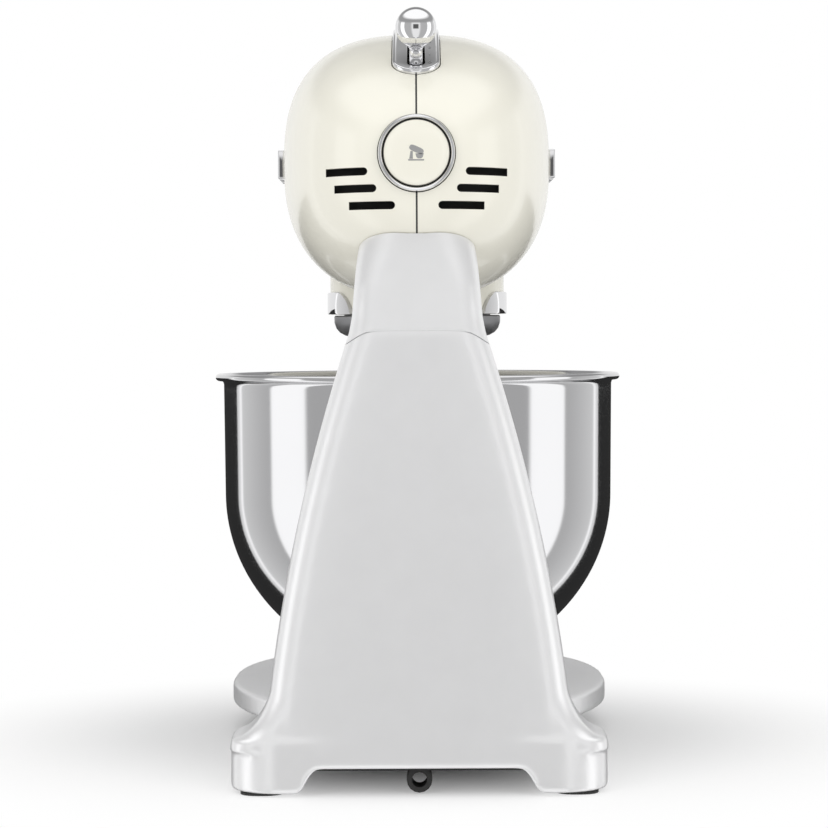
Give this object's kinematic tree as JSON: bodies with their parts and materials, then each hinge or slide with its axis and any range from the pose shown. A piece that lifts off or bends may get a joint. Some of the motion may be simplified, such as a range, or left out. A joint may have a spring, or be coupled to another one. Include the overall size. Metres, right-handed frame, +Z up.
{
  "type": "stand mixer",
  "caption": "Tilt-head kitchen stand mixer with a rounded enamelled head, a tapered cast column, a steel bowl with a handle and a planetary beater drive.",
  "frame": {"origin": "on the floor under the middle of the box of the whole mixer", "axes": "+Z up, -Y towards the nose and the bowl handle, +Y towards the column and the tilt button, +X to the mixer's left"},
  "size_m": [0.221, 0.402, 0.3726],
  "materials": {
    "enamel": "gloss cream enamel",
    "satin_casting": "satin silver paint on die-cast metal",
    "chrome": "bright chrome",
    "polished_steel": "mirror-polished stainless steel",
    "machined_steel": "machined steel",
    "grey_casting": "grey die-cast metal",
    "black_plastic": "black moulded plastic",
    "rubber": "dark rubber",
    "copper": "varnished copper winding",
    "board": "green circuit board",
    "nylon": "natural nylon"
  },
  "bodies": {
    "base": {"base_casting": "satin_casting", "base_plate": "black_plastic", "rear_foot_left": "rubber", "rear_foot_right": "rubber", "front_foot_left": "rubber", "front_foot_right": "rubber", "plate_screw_left": "machined_steel", "plate_screw_right": "machined_steel", "cord_gland": "rubber", "hinge_pin": "machined_steel", "latch_striker": "machined_steel", "bowl_seat": "satin_casting"},
    "head": {"head_shell_left": "enamel", "head_shell_right": "enamel", "neck_casting": "satin_casting", "hinge_bush_left": "nylon", "hinge_bush_right": "nylon", "speed_track": "chrome", "button_bezel": "chrome", "side_badge_left": "chrome", "side_badge_right": "chrome", "hub_trim": "chrome", "nose_ring": "chrome", "gearbox_plate": "grey_casting", "lower_bearing": "machined_steel", "ring_gear": "machined_steel", "gearbox_frame": "grey_casting", "upper_bearing": "machined_steel", "motor_plate": "grey_casting", "motor_housing": "grey_casting", "motor_stator": "copper", "drive_belt": "rubber", "control_board": "board", "vent_screen": "black_plastic", "latch_pin": "machined_steel", "outlet_bearing": "machined_steel"},
    "lever": {"lever_ball": "chrome", "lever_stem": "chrome", "lever_carriage": "black_plastic"},
    "button": {"release_button": "enamel", "button_rod": "nylon", "button_spring": "machined_steel"},
    "latch": {"latch_hook": "machined_steel"},
    "cap": {"front_cap": "chrome"},
    "lock": {"lock_knob": "chrome"},
    "planetary": {"planet_carrier": "grey_casting", "drive_shaft": "machined_steel", "drive_bevel": "machined_steel", "drive_pulley": "nylon"},
    "beater": {"planet_pinion": "machined_steel", "beater_shaft": "machined_steel", "flat_beater": "satin_casting"},
    "motor": {"motor_rotor": "machined_steel", "motor_shaft": "machined_steel", "cooling_fan": "nylon"},
    "outlet": {"outlet_bevel": "machined_steel", "outlet_shaft": "machined_steel"},
    "bowl": {"bowl": "polished_steel", "bowl_foot": "polished_steel", "bowl_handle": "polished_steel"}
  },
  "joints": [
    {"name": "head_tilt", "type": "hinge", "parent": "base", "child": "head", "pos_m": [0, 0.17, 0.224], "axis": [-1, 0, 0], "range_deg": [0, 31]},
    {"name": "speed_lever", "type": "hinge", "parent": "head", "child": "lever", "pos_m": [0, 0.053, 0.1575], "axis": [1, 0, 0], "range_deg": [0, 26]},
    {"name": "button_press", "type": "slide", "parent": "head", "child": "button", "axis": [0, -1, 0], "range_m": [0, 0.004], "stiffness_N_per_m": 600, "springref_m": -0.003},
    {"name": "latch_turn", "type": "hinge", "parent": "head", "child": "latch", "pos_m": [0, 0.138, 0.2585], "axis": [1, 0, 0], "range_deg": [0, 5.6]},
    {"name": "cap_pull", "type": "slide", "parent": "head", "child": "cap", "axis": [0, -1, 0], "range_m": [0, 0.03]},
    {"name": "lock_turn", "type": "hinge", "parent": "head", "child": "lock", "pos_m": [-0.05, -0.15, 0.3], "axis": [1, 0, 0], "range_deg": [0, 180]},
    {"name": "planetary_spin", "type": "hinge", "parent": "head", "child": "planetary", "pos_m": [0, -0.046, 0.213], "axis": [0, 0, 1], "continuous": true},
    {"name": "beater_spin", "type": "hinge", "parent": "planetary", "child": "beater", "pos_m": [0.02528, -0.046, 0.2], "axis": [0, 0, 1], "continuous": true},
    {"name": "motor_spin", "type": "hinge", "parent": "head", "child": "motor", "pos_m": [0, 0.066, 0.3], "axis": [0, 0, 1], "continuous": true},
    {"name": "outlet_spin", "type": "hinge", "parent": "head", "child": "outlet", "pos_m": [0, -0.1, 0.3], "axis": [0, -1, 0], "continuous": true},
    {"name": "bowl_twist", "type": "hinge", "parent": "base", "child": "bowl", "pos_m": [0, -0.046, 0.03], "axis": [0, 0, 1], "range_deg": [0, 40]}
  ],
  "couplings": [
    {"joint": "latch_turn", "follows": "button_press", "rad_per_m": 23.9},
    {"joint": "beater_spin", "follows": "planetary_spin", "ratio": -3},
    {"joint": "motor_spin", "follows": "planetary_spin", "ratio": 4},
    {"joint": "outlet_spin", "follows": "planetary_spin", "ratio": 1}
  ]
}
